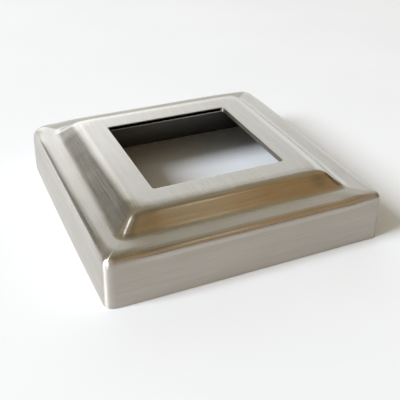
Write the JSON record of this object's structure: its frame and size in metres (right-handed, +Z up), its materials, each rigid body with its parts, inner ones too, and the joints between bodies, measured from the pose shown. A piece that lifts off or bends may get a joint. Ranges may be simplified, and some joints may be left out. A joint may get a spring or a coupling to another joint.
{
  "type": "square post base cover",
  "caption": "Pressed square stainless-steel cover with a stepped, sloped top and a square opening; slides over a square post to hide its fixing plate.",
  "frame": {"origin": "centre of the bottom rim, on the surface the cover stands on, on the axis of the post opening", "axes": "+Z up along the post axis; +X and +Y square to two neighbouring walls of the skirt"},
  "size_m": [0.105, 0.105, 0.0245],
  "materials": {
    "brushed_stainless": "satin brushed stainless steel, bare on both faces and at the cut edges"
  },
  "bodies": {
    "root": {"base_cover": "brushed_stainless"}
  },
  "joints": []
}
